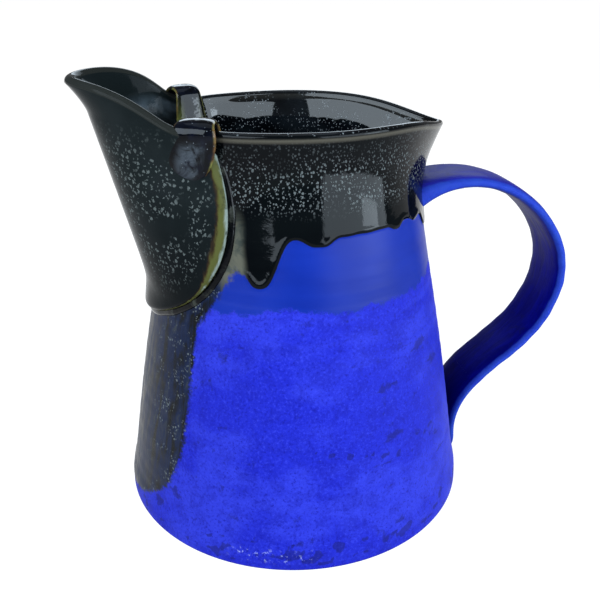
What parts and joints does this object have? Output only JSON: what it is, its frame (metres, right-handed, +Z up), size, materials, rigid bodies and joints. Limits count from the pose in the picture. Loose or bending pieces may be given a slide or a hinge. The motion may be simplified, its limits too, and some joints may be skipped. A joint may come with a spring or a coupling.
{
  "type": "ceramic pitcher",
  "caption": "Studio pottery pitcher: conical thrown body, slab pouring spout clipped to the rim, strap handle, blue matte glaze under a dripping black gloss glaze.",
  "frame": {"origin": "centre of the flat foot, on the surface that the pitcher stands on", "axes": "+Z up along the body's axis, -X towards the tip of the spout, +X towards the handle, and the XZ plane is the clay's plane of symmetry"},
  "size_m": [0.2516, 0.183, 0.2187],
  "materials": {
    "blue_matte_glaze": "matte",
    "black_gloss_glaze": "gloss"
  },
  "bodies": {
    "root": {"body": "blue_matte_glaze", "spout": "black_gloss_glaze", "left_clip": "black_gloss_glaze", "right_clip": "black_gloss_glaze", "handle": "blue_matte_glaze", "spout_joint": "black_gloss_glaze", "handle_top_joint": "blue_matte_glaze", "handle_foot_joint": "blue_matte_glaze", "outer_glaze": "black_gloss_glaze"}
  },
  "joints": []
}
